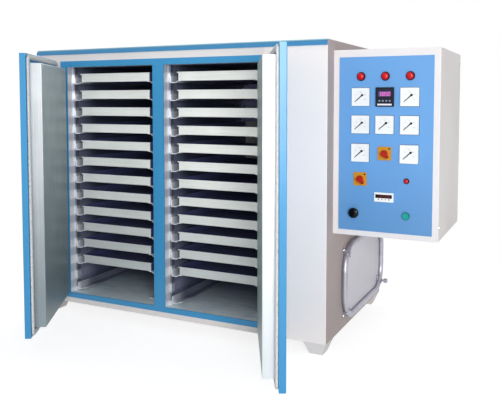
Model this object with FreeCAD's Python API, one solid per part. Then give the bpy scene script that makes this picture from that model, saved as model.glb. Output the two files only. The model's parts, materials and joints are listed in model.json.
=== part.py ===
import FreeCAD, Part
import math
import os

# Two-door tray dryer: an insulated sheet-steel cabinet with two bays of loose trays, two thick
# plug doors hinged at the outer sides of a painted frame, and a control box on the right wall.
# Lengths are millimetres. Sizes are first laid out from the body's left front bottom corner:
# X runs to the right, Y from the front face to the back, Z up from the floor.
# At the end everything is moved so that the origin is the middle of the footprint.

V = FreeCAD.Vector
UP = V(0, 0, 1)
FORWARD = V(0, -1, 0)

# Trays
tray_count = 12
tray_width = 406
tray_length = 700
tray_height = 40
tray_pitch = 81
tray_sheet = 2
tray_lip = 5
tray_lip_height = 4

# Racks that carry the trays: flat posts and folded ledges with a raised seat
post_width = 9
post_depth = 25
ledge_sheet = 2.5
ledge_flat = 26
ledge_slope = 9
ledge_seat = 15
ledge_drop = 7
ledge_upstand = 30
tray_side_gap = 33
bottom_ledge_gap = 6

# Room round the trays
space_above_trays = 32
space_below_trays = 143
tray_setback = 42
post_setback = 44
rear_space = 43

# Body
lining_sheet = 3
left_margin = 178
right_margin = 279
floor_thickness = 50
roof_thickness = 84
back_wall_thickness = 62
body_edge_radius = 4
foot_height = 55
foot_top = 100
foot_bottom = 56

# Painted door frame, a thin cover let into the front edges of the walls and linings
frame_proud = 2
frame_depth = 3
jamb_width = 40
sill_height = 25
head_height = 28
mullion_width = 58

# Painted cap along the roof's front edge
cap_height = 24
cap_proud = 10
cap_slope = 12
cap_overhang = 4

# Doors
panel_thickness = 25
panel_edge_radius = 3
plug_depth = 54
plug_clearance = 10
plug_edge_radius = 3
gasket_thickness = 12
gasket_width = 20
gasket_inset = 4
closed_gap = 5
meeting_gap = 6
left_door_open = 60
right_door_open = 117

# Lift-off hinges, three to a door
hinge_count = 3
hinge_end_distance = 170
hinge_offset = 11
hinge_axis_depth = 9
knuckle_radius = 8
knuckle_height = 35
knuckle_gap = 0.3
pin_radius = 4.5
pin_clearance = 0.05
pin_end_gap = 2
hinge_plate_thickness = 3
hinge_plate_reach = 32
hinge_web_half = 3
hinge_block_half = 6
leaf_thickness = 3
leaf_margin = 4

# Control box on the right wall
box_width = 425
box_depth = 502
box_height = 753
box_setback = 80
box_base_height = 446
box_edge_radius = 3
plate_thickness = 3
plate_side_inset = 24
plate_top_inset = 30
plate_bottom_inset = 22

# Instruments, placed from the middle of the plate's width and from the plate's lower edge
column_pitch = 98
lamp_row = 623
first_meter_row = 541
second_meter_row = 431
third_meter_row = 317
lower_switch_row = 211
timer_row = 142
button_row = 73
meter_size = 72
meter_depth = 9
meter_frame = 5
meter_recess = 2
controller_width = 72
controller_height = 76
controller_depth = 10
controller_window_margin = 8
controller_window_height = 30
controller_window_recess = 1.5
timer_width = 77
timer_height = 37
timer_depth = 6
timer_window_width = 56
timer_window_height = 14
timer_window_recess = 1
lamp_collar_radius = 18
lamp_collar_height = 4
lamp_lens_radius = 15
lamp_lens_height = 12
small_lamp_collar_radius = 11.5
small_lamp_collar_height = 3
small_lamp_lens_radius = 8.5
small_lamp_lens_height = 6
switch_plate_size = 54
switch_plate_depth = 4
switch_plate_radius = 4
knob_gap = 0.3
knob_base_radius = 14
knob_base_height = 6
knob_height = 20
knob_tip_length = 24
knob_tip_radius = 4
knob_tail_radius = 10
knob_rest_angle = -45
collar_radius = 16
collar_bore_gap = 0.3
mushroom_collar_height = 10
mushroom_stem_radius = 10
mushroom_head_radius = 21
mushroom_rim_height = 4
mushroom_dome_height = 7
lens_dome_height = 4
dome_crown_share = 0.55
mushroom_travel = 6
button_collar_height = 6
button_radius = 12
button_proud = 4
button_travel = 3
travel_end_gap = 0.5

# Side access cover with a tubular rim, on the right wall under the control box
cover_front = 195
cover_length = 640
cover_bottom = 28
cover_height = 345
cover_corner_radius = 110
cover_sheet = 6
rim_radius = 13
rim_sides = 16
rim_bend_chords = 7
saddle_clearance = 0.4
saddle_sheet = 3
saddle_width = 20
saddle_flange = 18
clamp_stud_radius = 5
clamp_stud_length = 9
clamp_knob_radius = 12
clamp_knob_length = 18
clamp_knob_chamfer = 3

# Places that follow from the sizes above
bay_width = tray_width + 2 * (tray_side_gap + ledge_sheet + post_width)
bay_height = space_above_trays + (tray_count - 1) * tray_pitch + tray_height + space_below_trays
body_width = left_margin + 2 * bay_width + mullion_width + right_margin
chamber_back = tray_setback + tray_length + rear_space
body_depth = chamber_back + lining_sheet + back_wall_thickness
body_bottom = foot_height
chamber_floor = body_bottom + floor_thickness
chamber_top = chamber_floor + bay_height
body_top = chamber_top + roof_thickness
opening_left = left_margin
mullion_left = opening_left + bay_width
mullion_right = mullion_left + mullion_width
opening_right = mullion_right + bay_width
opening_centre = (opening_left + opening_right) / 2
frame_left = opening_left - jamb_width
frame_right = opening_right + jamb_width
frame_bottom = chamber_floor - sill_height
frame_top = chamber_top + head_height

parts = {}


def box(x0, x1, y0, y1, z0, z1):
    return Part.makeBox(x1 - x0, y1 - y0, z1 - z0, V(x0, y0, z0))


def prism(points, along):
    outline = Part.makePolygon(points + [points[0]])
    return Part.Face(outline).extrude(along)


def edges_along(shape, direction):
    found = []
    for edge in shape.Edges:
        run = edge.Vertexes[-1].Point.sub(edge.Vertexes[0].Point)
        if run.Length > 0 and abs(run.dot(direction)) > 0.999 * run.Length:
            found.append(edge)
    return found


def mirrored(shape):
    return shape.mirror(V(opening_centre, 0, 0), V(1, 0, 0))


# Body: insulated walls with the frame's rebate cut out of their front inner edges
def side_wall(x0, x1):
    wall = box(x0, x1, 0, body_depth, body_bottom, body_top)
    outer_x = x0 if x0 == 0 else x1
    front_edge = [e for e in edges_along(wall, UP)
                  if abs(e.Vertexes[0].X - outer_x) < 1e-6 and abs(e.Vertexes[0].Y) < 1e-6]
    wall = wall.makeFillet(body_edge_radius, front_edge)
    rebate = box(frame_left, frame_right, 0, frame_depth, frame_bottom, frame_top)
    return wall.cut(rebate)


def body():
    rebate = box(frame_left, frame_right, 0, frame_depth, frame_bottom, frame_top)
    inner_left = opening_left - lining_sheet
    inner_right = opening_right + lining_sheet
    slab_top = chamber_floor - lining_sheet
    slab_bottom = chamber_top + lining_sheet
    parts["left_wall"] = side_wall(0, inner_left)
    parts["right_wall"] = side_wall(inner_right, body_width)
    parts["floor_slab"] = box(inner_left, inner_right, 0, body_depth, body_bottom, slab_top).cut(rebate)
    parts["roof_slab"] = box(inner_left, inner_right, 0, body_depth, slab_bottom, body_top).cut(rebate)
    parts["back_wall"] = box(inner_left, inner_right, chamber_back + lining_sheet, body_depth,
                             slab_top, slab_bottom)


def foot(x_mid, y_mid):
    """Wedge that grows from the foot's bottom square to its top square, stood upright."""
    low = foot_bottom / 2
    high = foot_top / 2
    wedge = Part.makeWedge(-low, 0, -low, -high, -high, low, foot_height, low, high, high)
    wedge.rotate(V(0, 0, 0), V(1, 0, 0), 90)
    wedge.translate(V(x_mid, y_mid, 0))
    return wedge


def feet():
    inset = foot_top / 2
    places = [(x, y) for x in (inset, body_width - inset) for y in (inset, body_depth - inset)]
    parts["feet"] = Part.makeCompound([foot(x, y) for x, y in places])


# Folded cap strip: upright face, then a slope back to the roof's front edge
def roof_cap():
    z0 = body_top - cap_height
    section = [(0, z0), (-cap_proud, z0), (-cap_proud, body_top - cap_slope), (0, body_top)]
    points = [V(-cap_overhang, y, z) for y, z in section]
    parts["roof_cap"] = prism(points, V(body_width + cap_overhang, 0, 0))


def door_frame():
    front = -frame_proud
    parts["left_jamb"] = box(frame_left, opening_left, front, frame_depth, frame_bottom, frame_top)
    parts["right_jamb"] = box(opening_right, frame_right, front, frame_depth, frame_bottom, frame_top)
    parts["head_rail"] = box(opening_left, opening_right, front, frame_depth, chamber_top, frame_top)
    parts["sill"] = box(opening_left, opening_right, front, frame_depth, frame_bottom, chamber_floor)
    parts["mullion"] = box(mullion_left, mullion_right, front, frame_depth, chamber_floor, chamber_top)


# Chamber: bright steel sheets, and the hollow partition that stands behind the mullion
def chamber():
    left = opening_left
    right = opening_right
    skin = lining_sheet
    side_z = (chamber_floor - skin, chamber_top + skin)
    left_sheet = box(left - skin, left, frame_depth, chamber_back + skin, *side_z)
    right_sheet = box(right, right + skin, frame_depth, chamber_back + skin, *side_z)
    parts["side_linings"] = Part.makeCompound([left_sheet, right_sheet])
    parts["chamber_floor"] = box(left, right, frame_depth, chamber_back, chamber_floor - skin, chamber_floor)
    parts["chamber_ceiling"] = box(left, right, frame_depth, chamber_back, chamber_top, chamber_top + skin)
    parts["back_lining"] = box(left, right, chamber_back, chamber_back + skin, *side_z)
    parts["partition"] = box(mullion_left, mullion_right, frame_depth, chamber_back,
                             chamber_floor, chamber_top)


# Racks: four flat posts in a bay, a pair of folded ledges under each tray, and a lowest pair
# that stays empty just above the chamber floor
def tier_bottom(tier):
    return chamber_top - space_above_trays - tray_height - tier * tray_pitch


def rack_post(x0, y0):
    return box(x0, x0 + post_width, y0, y0 + post_depth, chamber_floor, chamber_top)


def ledge(x_post, inward, seat_z):
    """Upstand on the post, a flat, then a slope up to the seat that the tray's edge rests on."""
    sheet = ledge_sheet
    low = -ledge_drop
    seat_start = ledge_flat + ledge_slope
    seat_end = seat_start + ledge_seat
    section = [(0, low - sheet), (ledge_flat, low - sheet), (seat_start, -sheet), (seat_end, -sheet),
               (seat_end, 0), (seat_start, 0), (ledge_flat, low), (sheet, low),
               (sheet, low + ledge_upstand), (0, low + ledge_upstand)]
    points = [V(x_post + inward * x, post_setback, seat_z + z) for x, z in section]
    return prism(points, V(0, tray_setback + tray_length - post_setback, 0))


def rack(bay_left):
    bay_right = bay_left + bay_width
    rear_post = tray_setback + tray_length - post_depth
    posts = [rack_post(x, y) for x in (bay_left, bay_right - post_width)
             for y in (post_setback, rear_post)]
    seats = [tier_bottom(tier) for tier in range(tray_count)]
    seats.append(chamber_floor + bottom_ledge_gap + ledge_sheet + ledge_drop)
    ledges = []
    for seat_z in seats:
        ledges.append(ledge(bay_left + post_width, 1, seat_z))
        ledges.append(ledge(bay_right - post_width, -1, seat_z))
    return posts, ledges


def tray(x_mid, tier):
    z0 = tier_bottom(tier)
    z1 = z0 + tray_height
    y0 = tray_setback
    y1 = y0 + tray_length
    half = tray_width / 2
    wall = half - tray_lip
    inside = wall - tray_sheet
    dish = box(x_mid - wall, x_mid + wall, y0 + tray_lip, y1 - tray_lip, z0, z1)
    lip = box(x_mid - half, x_mid + half, y0, y1, z1 - tray_lip_height, z1)
    cavity_y0 = y0 + tray_lip + tray_sheet
    cavity_y1 = y1 - tray_lip - tray_sheet
    cavity = box(x_mid - inside, x_mid + inside, cavity_y0, cavity_y1, z0 + tray_sheet, z1)
    return dish.fuse(lip).cut(cavity).removeSplitter()


def racks_and_trays():
    posts = []
    for side, bay_left in (("left", opening_left), ("right", mullion_right)):
        bay_posts, ledges = rack(bay_left)
        posts += bay_posts
        parts[side + "_bay_ledges"] = Part.makeCompound(ledges)
        bay_mid = bay_left + bay_width / 2
        trays = [tray(bay_mid, tier) for tier in range(tray_count)]
        parts[side + "_trays"] = Part.makeCompound(trays)
    parts["rack_posts"] = Part.makeCompound(posts)


# Doors, drawn shut. The left one is mirrored for the right one, then each is swung open.
door_outer_y = -(frame_proud + closed_gap + gasket_thickness + panel_thickness)
door_inner_y = door_outer_y + panel_thickness
door_free_x = opening_centre - meeting_gap / 2
left_axis = V(frame_left - hinge_offset, door_inner_y - hinge_axis_depth, 0)
right_axis = V(frame_right + hinge_offset, door_inner_y - hinge_axis_depth, 0)


def door_panel():
    slab = box(frame_left, door_free_x, door_outer_y, door_inner_y, frame_bottom, frame_top)
    outer_edges = []
    for edge in slab.Edges:
        ends = [v.Y for v in edge.Vertexes]
        if max(ends) - door_outer_y < 1e-6:
            outer_edges.append(edge)
    return slab.makeFillet(panel_edge_radius, outer_edges)


def door_plug():
    x0 = opening_left + plug_clearance
    x1 = mullion_left - plug_clearance
    z0 = chamber_floor + plug_clearance
    z1 = chamber_top - plug_clearance
    y1 = door_inner_y + plug_depth
    block = box(x0, x1, door_inner_y, y1, z0, z1)
    rounded = []
    for edge in block.Edges:
        ends = [v.Y for v in edge.Vertexes]
        if y1 - min(ends) < 1e-6:
            rounded.append(edge)
    return block.makeFillet(plug_edge_radius, rounded)


def door_gasket():
    x0 = frame_left + gasket_inset
    x1 = door_free_x - gasket_inset
    z0 = frame_bottom + gasket_inset
    z1 = frame_top - gasket_inset
    y1 = door_inner_y + gasket_thickness
    w = gasket_width
    outer = box(x0, x1, door_inner_y, y1, z0, z1)
    inner = box(x0 + w, x1 - w, door_inner_y, y1, z0 + w, z1 - w)
    ring = outer.cut(inner)
    face_edges = [e for e in ring.Edges if y1 - min(v.Y for v in e.Vertexes) < 1e-6]
    return ring.makeChamfer(gasket_thickness / 4, face_edges)


def hinge_heights():
    first = frame_bottom + hinge_end_distance
    last = frame_top - hinge_end_distance
    step = (last - first) / (hinge_count - 1)
    return [first + i * step for i in range(hinge_count)]


def door_hinge_half(z_split):
    axis = left_axis
    z0 = z_split + knuckle_gap
    barrel = Part.makeCylinder(knuckle_radius, knuckle_height, V(axis.x, axis.y, z0))
    leaf_x0 = frame_left - leaf_thickness
    web = box(axis.x, frame_left, axis.y - hinge_web_half, axis.y + hinge_web_half,
              z0, z0 + knuckle_height)
    leaf = box(leaf_x0, frame_left, door_outer_y + leaf_margin, door_inner_y - leaf_margin,
               z0, z0 + knuckle_height)
    bore = Part.makeCylinder(pin_radius + pin_clearance, knuckle_height, V(axis.x, axis.y, z0))
    return barrel.fuse([web, leaf]).cut(bore)


def frame_hinge_half(z_split):
    axis = left_axis
    z0 = z_split - knuckle_height
    barrel = Part.makeCylinder(knuckle_radius, knuckle_height, V(axis.x, axis.y, z0))
    block = box(axis.x - hinge_block_half, axis.x + hinge_block_half, axis.y, 0, z0, z_split)
    plate = box(axis.x - hinge_plate_reach, axis.x + hinge_block_half, -hinge_plate_thickness, 0,
                z0, z_split)
    pin_top = z_split + knuckle_gap + knuckle_height - pin_end_gap
    pin = Part.makeCylinder(pin_radius, pin_top - z0, V(axis.x, axis.y, z0))
    return barrel.fuse([block, plate, pin]).removeSplitter()


def doors():
    frame_halves = [frame_hinge_half(z) for z in hinge_heights()]
    frame_halves += [mirrored(half) for half in frame_halves]
    parts["hinge_seats"] = Part.makeCompound(frame_halves)
    shut = {
        "panel": door_panel(),
        "plug": door_plug(),
        "gasket": door_gasket(),
        "hinges": Part.makeCompound([door_hinge_half(z) for z in hinge_heights()]),
    }
    for name, shape in shut.items():
        left = shape.copy()
        left.rotate(left_axis, UP, -left_door_open)
        parts["left_door_" + name] = left
        right = mirrored(shape)
        right.rotate(right_axis, UP, right_door_open)
        parts["right_door_" + name] = right


# Control box with its painted instrument plate
box_left = body_width
plate_left = box_left + plate_side_inset
plate_right = box_left + box_width - plate_side_inset
plate_mid = (plate_left + plate_right) / 2
box_bottom = body_bottom + box_base_height
plate_bottom = box_bottom + plate_bottom_inset
plate_top = box_bottom + box_height - plate_top_inset
plate_front = box_setback - plate_thickness


def control_box():
    shell = box(box_left, box_left + box_width, box_setback, box_setback + box_depth,
                box_bottom, box_bottom + box_height)
    outer_edges = [e for e in shell.Edges if min(v.X for v in e.Vertexes) > box_left + 1]
    parts["control_box"] = shell.makeFillet(box_edge_radius, outer_edges)
    parts["instrument_plate"] = box(plate_left, plate_right, plate_front, box_setback,
                                    plate_bottom, plate_top)


def on_plate(column, row):
    return V(plate_mid + column * column_pitch, plate_front, plate_bottom + row)


def block_on_plate(place, width, height, depth):
    return box(place.x - width / 2, place.x + width / 2, place.y - depth, place.y,
               place.z - height / 2, place.z + height / 2)


def turned_on_plate(place, profile):
    """Turn a profile of (radius, distance in front of the plate) about the place's axis."""
    points = [V(place.x + r, place.y - d, place.z) for r, d in profile]
    outline = Part.makePolygon(points + [points[0]])
    return Part.Face(outline).revolve(place, FORWARD, 360)


def dome_profile(rim, rise, base):
    """Shallow dome as a slope and a flat crown, in (radius, distance) points."""
    return [(rim * dome_crown_share, base + rise), (0, base + rise)]


def meter(place):
    body_block = block_on_plate(place, meter_size, meter_size, meter_depth)
    face = meter_size - 2 * meter_frame
    front = V(place.x, place.y - meter_depth + meter_recess, place.z)
    return body_block.cut(block_on_plate(front, face, face, meter_recess))


def controller(place):
    body_block = block_on_plate(place, controller_width, controller_height, controller_depth)
    window_width = controller_width - 2 * controller_window_margin
    window_z = place.z + controller_height / 2 - controller_window_margin - controller_window_height / 2
    front = V(place.x, place.y - controller_depth + controller_window_recess, window_z)
    window = block_on_plate(front, window_width, controller_window_height, controller_window_recess)
    return body_block.cut(window)


def timer(place):
    body_block = block_on_plate(place, timer_width, timer_height, timer_depth)
    front = V(place.x, place.y - timer_depth + timer_window_recess, place.z)
    window = block_on_plate(front, timer_window_width, timer_window_height, timer_window_recess)
    return body_block.cut(window)


def lamp(place, collar, collar_height, lens, lens_height):
    dome = min(lens_dome_height, lens_height / 2)
    shoulder = collar_height + lens_height - dome
    profile = [(0, 0), (collar, 0), (collar, collar_height), (lens, collar_height), (lens, shoulder)]
    profile += dome_profile(lens, dome, shoulder)
    return turned_on_plate(place, profile)


def switch_plate(place):
    plate = block_on_plate(place, switch_plate_size, switch_plate_size, switch_plate_depth)
    return plate.makeFillet(switch_plate_radius, edges_along(plate, V(0, 1, 0)))


def knob(place):
    """Round base with a teardrop grip: two circles joined by their tangents."""
    back = place.y - switch_plate_depth - knob_gap
    base = Part.makeCylinder(knob_base_radius, knob_base_height, V(place.x, back, place.z), FORWARD)
    reach = knob_tip_length - knob_tip_radius
    lean = math.asin((knob_tail_radius - knob_tip_radius) / reach)
    across = math.cos(lean)
    along = math.sin(lean)

    def tangent(radius, centre, side):
        return V(place.x + centre + radius * along, back, place.z + side * radius * across)

    tail_up = tangent(knob_tail_radius, 0, 1)
    tail_down = tangent(knob_tail_radius, 0, -1)
    tip_up = tangent(knob_tip_radius, reach, 1)
    tip_down = tangent(knob_tip_radius, reach, -1)
    tip_end = V(place.x + knob_tip_length, back, place.z)
    tail_end = V(place.x - knob_tail_radius, back, place.z)
    edges = [
        Part.LineSegment(tail_up, tip_up).toShape(),
        Part.Arc(tip_up, tip_end, tip_down).toShape(),
        Part.LineSegment(tip_down, tail_down).toShape(),
        Part.Arc(tail_down, tail_end, tail_up).toShape(),
    ]
    grip = Part.Face(Part.Wire(edges)).extrude(V(0, -knob_height, 0))
    whole = base.fuse(grip).removeSplitter()
    whole.rotate(place, FORWARD, knob_rest_angle)
    return whole


def collar(place, bore, height):
    profile = [(bore, 0), (collar_radius, 0), (collar_radius, height), (bore, height)]
    return turned_on_plate(place, profile)


def mushroom(place):
    tail = mushroom_travel + travel_end_gap
    head_back = mushroom_collar_height + mushroom_travel + travel_end_gap
    rim = mushroom_head_radius
    shoulder = head_back + mushroom_rim_height
    profile = [(0, tail), (mushroom_stem_radius, tail), (mushroom_stem_radius, head_back),
               (rim, head_back), (rim, shoulder)]
    profile += dome_profile(rim, mushroom_dome_height, shoulder)
    return turned_on_plate(place, profile)


def push_button(place):
    tail = button_travel + travel_end_gap
    front = button_collar_height + button_proud
    profile = [(0, tail), (button_radius, tail), (button_radius, front), (0, front)]
    return turned_on_plate(place, profile)


def instruments():
    meter_places = [(-1, first_meter_row), (1, first_meter_row),
                    (-1, second_meter_row), (0, second_meter_row), (1, second_meter_row),
                    (-1, third_meter_row), (1, third_meter_row)]
    parts["panel_meters"] = Part.makeCompound([meter(on_plate(*p)) for p in meter_places])
    parts["temperature_controller"] = controller(on_plate(0, first_meter_row))
    parts["digital_timer"] = timer(on_plate(0, timer_row))
    lamps = []
    for column in (-1, 0, 1):
        lamps.append(lamp(on_plate(column, lamp_row), lamp_collar_radius, lamp_collar_height,
                          lamp_lens_radius, lamp_lens_height))
    lamps.append(lamp(on_plate(0.9, lower_switch_row), small_lamp_collar_radius,
                      small_lamp_collar_height, small_lamp_lens_radius, small_lamp_lens_height))
    parts["red_lamps"] = Part.makeCompound(lamps)
    upper = on_plate(0, third_meter_row)
    lower = on_plate(-1, lower_switch_row)
    parts["switch_plates"] = Part.makeCompound([switch_plate(upper), switch_plate(lower)])
    parts["upper_switch_knob"] = knob(upper)
    parts["lower_switch_knob"] = knob(lower)
    black = on_plate(-1.22, button_row)
    green = on_plate(0.9, button_row)
    collars = [collar(black, mushroom_stem_radius + collar_bore_gap, mushroom_collar_height),
               collar(green, button_radius + collar_bore_gap, button_collar_height)]
    parts["button_collars"] = Part.makeCompound(collars)
    parts["black_button"] = mushroom(black)
    parts["green_button"] = push_button(green)
    return upper, lower, black, green


# Side access cover: flat plate inside a closed tubular rim that four saddles hold to the wall,
# the two rear ones with clamp knobs. The tube is drawn with many flats, bent in short straights
# of which the middle one at each corner carries a saddle.
rim_y = (cover_front + rim_radius, cover_front + cover_length - rim_radius)
rim_z = (body_bottom + cover_bottom + rim_radius, body_bottom + cover_bottom + cover_height - rim_radius)
rim_x = body_width + rim_radius
chord_distance = cover_corner_radius * math.cos(math.radians(45 / rim_bend_chords))
cover_corners = [
    (rim_y[1] - cover_corner_radius, rim_z[0] + cover_corner_radius, -45),
    (rim_y[1] - cover_corner_radius, rim_z[1] - cover_corner_radius, 45),
    (rim_y[0] + cover_corner_radius, rim_z[1] - cover_corner_radius, 135),
    (rim_y[0] + cover_corner_radius, rim_z[0] + cover_corner_radius, 225),
]


def side_cover():
    path = []
    for y_mid, z_mid, middle in cover_corners:
        for i in range(rim_bend_chords + 1):
            angle = math.radians(middle - 45 + 90 * i / rim_bend_chords)
            path.append(V(rim_x, y_mid + cover_corner_radius * math.cos(angle),
                          z_mid + cover_corner_radius * math.sin(angle)))
    start = (path[-1] + path[0]) / 2
    reach = rim_radius / math.cos(math.pi / rim_sides)
    section = []
    for i in range(rim_sides):
        angle = 2 * math.pi * (i + 0.5) / rim_sides
        section.append(start + V(reach * math.cos(angle), 0, reach * math.sin(angle)))
    outline = Part.makePolygon(section + [section[0]])
    loop = Part.makePolygon([start] + path + [start])
    sweep = Part.BRepOffsetAPI.MakePipeShell(loop)
    sweep.setTransitionMode(1)
    sweep.add(outline)
    sweep.build()
    sweep.makeSolid()
    parts["cover_rim"] = sweep.shape()

    plate = box(body_width, body_width + cover_sheet, rim_y[0] + rim_radius, rim_y[1] - rim_radius,
                rim_z[0] + rim_radius, rim_z[1] - rim_radius)
    plate = plate.makeFillet(cover_corner_radius - rim_radius, edges_along(plate, V(1, 0, 0)))
    parts["cover_plate"] = plate

    saddles = []
    for y_mid, z_mid, middle in cover_corners:
        strap = saddle(y_mid, z_mid)
        if middle in (-45, 45):
            strap = strap.fuse(clamp_knob(y_mid + chord_distance, z_mid))
        strap.rotate(V(rim_x, y_mid, z_mid), V(1, 0, 0), middle)
        saddles.append(strap)
    parts["rim_saddles"] = Part.makeCompound(saddles)


def saddle(y_mid, z_mid):
    """Strap bent over the rim, drawn beside the corner's centre: one flange lies on the wall and
    the other on the cover plate."""
    inner = rim_radius + saddle_clearance
    outer = inner + saddle_sheet
    plate_face = body_width + cover_sheet

    def at(radial, x):
        return V(x, y_mid + chord_distance + radial, z_mid - saddle_width / 2)

    wall_side = [at(inner, rim_x), at(inner, body_width), at(outer + saddle_flange, body_width),
                 at(outer + saddle_flange, body_width + saddle_sheet),
                 at(outer, body_width + saddle_sheet), at(outer, rim_x)]
    plate_side = [at(-outer, rim_x), at(-outer, plate_face + saddle_sheet),
                  at(-outer - saddle_flange, plate_face + saddle_sheet),
                  at(-outer - saddle_flange, plate_face), at(-inner, plate_face), at(-inner, rim_x)]
    edges = [Part.LineSegment(a, b).toShape() for a, b in zip(wall_side, wall_side[1:])]
    edges.append(Part.Arc(wall_side[-1], at(0, rim_x + outer), plate_side[0]).toShape())
    edges += [Part.LineSegment(a, b).toShape() for a, b in zip(plate_side, plate_side[1:])]
    edges.append(Part.Arc(plate_side[-1], at(0, rim_x + inner), wall_side[0]).toShape())
    return Part.Face(Part.Wire(edges)).extrude(V(0, 0, saddle_width))


def clamp_knob(y, z):
    """Stud from the strap's crown with a round knob on its end, turned about the X axis."""
    root = body_width + 2 * rim_radius + saddle_clearance + saddle_sheet / 2
    neck = root + saddle_sheet / 2 + clamp_stud_length
    end = neck + clamp_knob_length
    bevel = clamp_knob_chamfer
    profile = [(root, 0), (root, clamp_stud_radius), (neck, clamp_stud_radius), (neck, clamp_knob_radius),
               (end - bevel, clamp_knob_radius), (end, clamp_knob_radius - bevel), (end, 0)]
    points = [V(x, y + radius, z) for x, radius in profile]
    outline = Part.makePolygon(points + [points[0]])
    return Part.Face(outline).revolve(V(root, y, z), V(1, 0, 0), 360)


body()
feet()
roof_cap()
door_frame()
chamber()
racks_and_trays()
doors()
control_box()
upper, lower, black, green = instruments()
side_cover()

# The origin goes to the middle of the footprint, doors open as they stand
bounds = Part.makeCompound(list(parts.values())).optimalBoundingBox(False, False)
middle = V((bounds.XMin + bounds.XMax) / 2, (bounds.YMin + bounds.YMax) / 2, 0)
shift = middle.negative()

os.makedirs("parts", exist_ok=True)
for name, shape in parts.items():
    moved = shape.copy()
    moved.translate(shift)
    moved.exportStep("parts/" + name + ".step")

print("nodes", len(parts))
print("size", round(bounds.XLength, 3), round(bounds.YLength, 3), round(bounds.ZLength, 3))
for label, place in (("left_hinge", left_axis), ("right_hinge", right_axis), ("upper_switch", upper),
                     ("lower_switch", lower), ("black_button", black), ("green_button", green)):
    spot = place.add(shift)
    print(label, round(spot.x, 3), round(spot.y, 3), round(spot.z, 3))
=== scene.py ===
import json
import math

import bmesh
import bpy
from mathutils import Matrix, Vector


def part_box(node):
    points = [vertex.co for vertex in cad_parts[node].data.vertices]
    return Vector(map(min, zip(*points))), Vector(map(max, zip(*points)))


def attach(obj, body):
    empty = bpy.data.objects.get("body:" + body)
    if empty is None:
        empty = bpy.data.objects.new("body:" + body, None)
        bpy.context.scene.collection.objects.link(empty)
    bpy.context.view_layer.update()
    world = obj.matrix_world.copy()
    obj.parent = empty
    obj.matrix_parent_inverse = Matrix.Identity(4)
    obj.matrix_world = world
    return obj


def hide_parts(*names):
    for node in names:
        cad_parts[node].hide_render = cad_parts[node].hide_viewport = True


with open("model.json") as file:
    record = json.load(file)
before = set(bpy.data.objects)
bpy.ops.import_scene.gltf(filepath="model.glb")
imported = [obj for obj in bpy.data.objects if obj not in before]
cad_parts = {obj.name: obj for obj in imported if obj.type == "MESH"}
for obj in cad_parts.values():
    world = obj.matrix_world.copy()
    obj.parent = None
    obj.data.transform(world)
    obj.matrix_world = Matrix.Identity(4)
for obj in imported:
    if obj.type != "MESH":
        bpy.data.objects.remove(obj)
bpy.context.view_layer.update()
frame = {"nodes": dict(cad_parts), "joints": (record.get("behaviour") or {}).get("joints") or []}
nodes = frame["nodes"]


# Studio. The photo is a cut-out on white, taken from the right front with a lens of about 47 mm.
# A broad soft lamp stands beside the camera, a weaker one behind the dryer, and the room gives a
# weak even light.
# Lengths given to at() are millimetres from the body's left front corner, up from the floor.
body_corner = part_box("left_wall")[0]


def at(x, y, z):
    return Vector((body_corner.x + x / 1000, body_corner.y + y / 1000, z / 1000))


def colour(code):
    """sRGB hex as the linear colour that a socket holds."""
    parts = [int(code[i:i + 2], 16) / 255 for i in (0, 2, 4)]
    return [p / 12.92 if p <= 0.04045 else ((p + 0.055) / 1.055) ** 2.4 for p in parts] + [1.0]


def add(tree, kind, inputs=(), **settings):
    """Add a node, set its properties, then give each named input a value or a link."""
    made = tree.nodes.new(kind)
    for name, value in settings.items():
        setattr(made, name, value)
    for name, value in dict(inputs).items():
        if isinstance(value, bpy.types.NodeSocket):
            tree.links.new(value, made.inputs[name])
        else:
            made.inputs[name].default_value = value
    return made


def seen_rays(tree):
    """1 for rays that show the room itself: straight from the camera, in gloss or through glass."""
    rays = add(tree, "ShaderNodeLightPath").outputs
    either = add(tree, "ShaderNodeMath", {0: rays["Is Camera Ray"], 1: rays["Is Glossy Ray"]},
                 operation="MAXIMUM")
    return add(tree, "ShaderNodeMath", {0: either.outputs[0], 1: rays["Is Transmission Ray"]},
               operation="MAXIMUM").outputs[0]


yaw = 0.4487
pitch = 0.06
camera = bpy.data.objects.new("camera", bpy.data.cameras.new("camera"))
bpy.context.scene.collection.objects.link(camera)
bpy.context.scene.camera = camera
camera.data.lens = 47.22
camera.data.sensor_width = 36
camera.data.shift_y = -0.1318
camera.data.clip_end = 200
camera.location = at(2362.2, -2492.7, 1051.2)
looking = Vector((-math.sin(yaw) * math.cos(pitch), math.cos(yaw) * math.cos(pitch), -math.sin(pitch)))
camera.rotation_mode = "QUATERNION"
camera.rotation_quaternion = looking.to_track_quat("-Z", "Y")

room = bpy.data.worlds.new("room")
bpy.context.scene.world = room
room.use_nodes = True
room.node_tree.nodes.clear()
room_dim = add(room.node_tree, "ShaderNodeBackground", {"Color": colour("FFFFFF"), "Strength": 0.43})
room_white = add(room.node_tree, "ShaderNodeBackground", {"Color": colour("FFFFFF"), "Strength": 1.0})
room_mix = add(room.node_tree, "ShaderNodeMixShader",
               {0: seen_rays(room.node_tree), 1: room_dim.outputs[0], 2: room_white.outputs[0]})
add(room.node_tree, "ShaderNodeOutputWorld", {0: room_mix.outputs[0]})

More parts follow.
